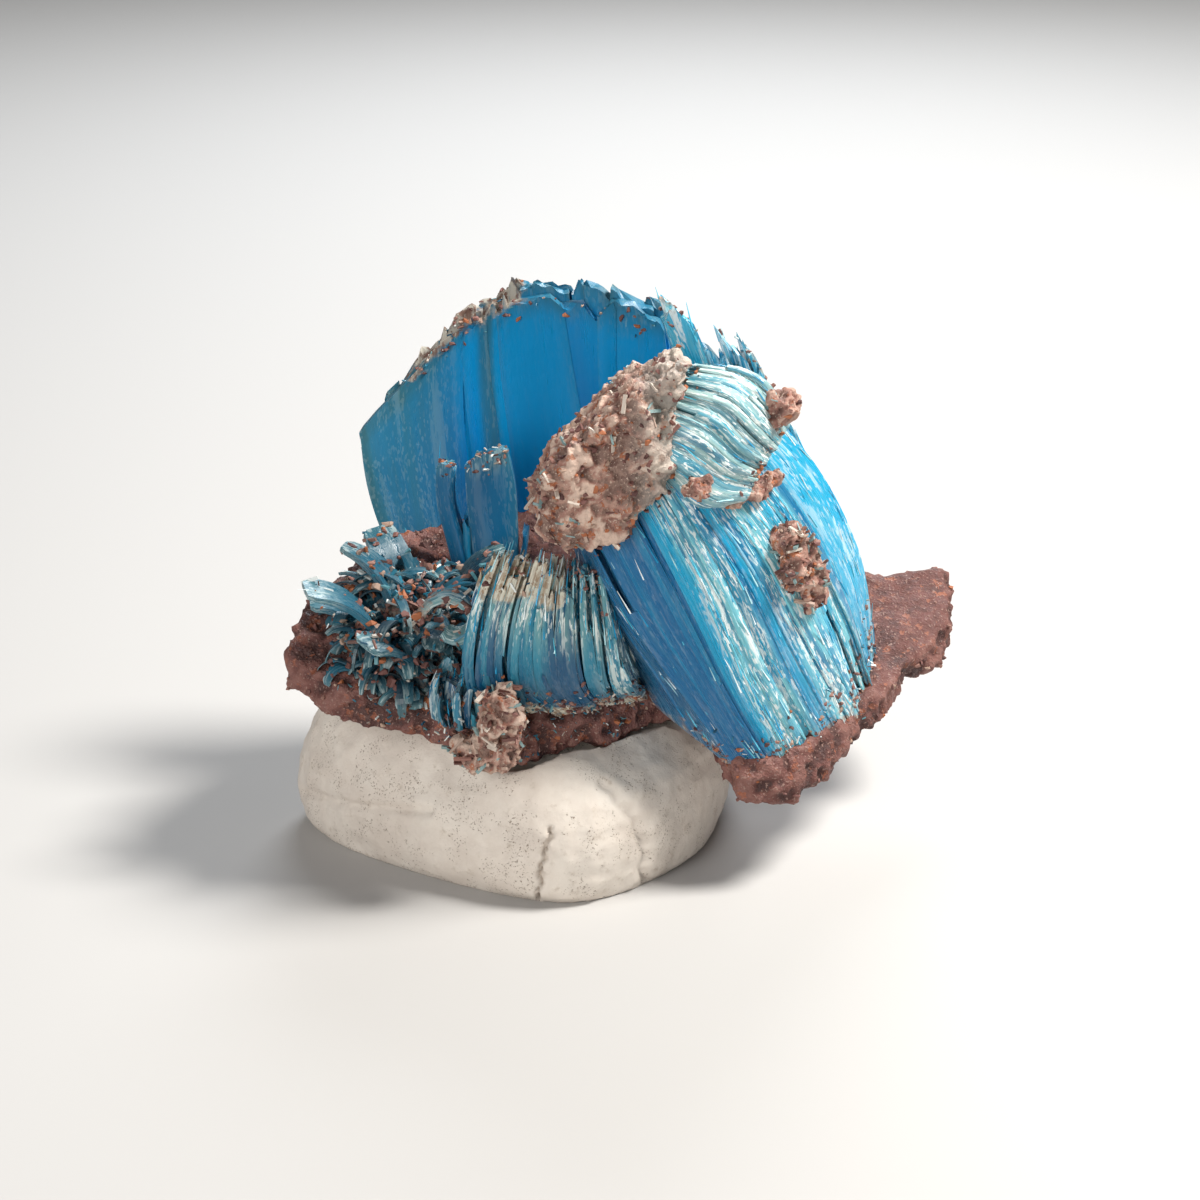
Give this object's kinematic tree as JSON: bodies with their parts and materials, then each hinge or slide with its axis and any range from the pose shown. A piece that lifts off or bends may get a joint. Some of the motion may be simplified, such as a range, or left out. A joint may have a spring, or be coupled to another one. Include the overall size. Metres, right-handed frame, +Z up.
{
  "type": "chalcanthite crystal cluster",
  "caption": "Small mineral specimen: curved translucent blue crystals on a thin plate of brown matrix rock, standing on a lump of mounting putty.",
  "frame": {"origin": "middle of the putty's flat underside", "axes": "+Z up, -Y towards the viewer of the picture, +X to the right"},
  "size_m": [0.034, 0.0209, 0.0267],
  "materials": {
    "putty": "matte, slightly pitted mineral tack",
    "matrix": "granular reddish-brown rock",
    "blue_crystal": "translucent, silky along the fibres",
    "teal_crystal": "translucent, partly crusted"
  },
  "bodies": {
    "root": {"mounting_putty": "putty", "matrix_rock": "matrix", "matrix_cap": "matrix", "matrix_chip_upper": "matrix", "matrix_patch_side": "matrix", "matrix_clump_front": "matrix", "arched_crystals": "blue_crystal", "back_fan_crystals": "blue_crystal", "front_spray_crystals": "teal_crystal", "short_blade_crystals": "teal_crystal", "curled_crystals": "teal_crystal"}
  },
  "joints": []
}
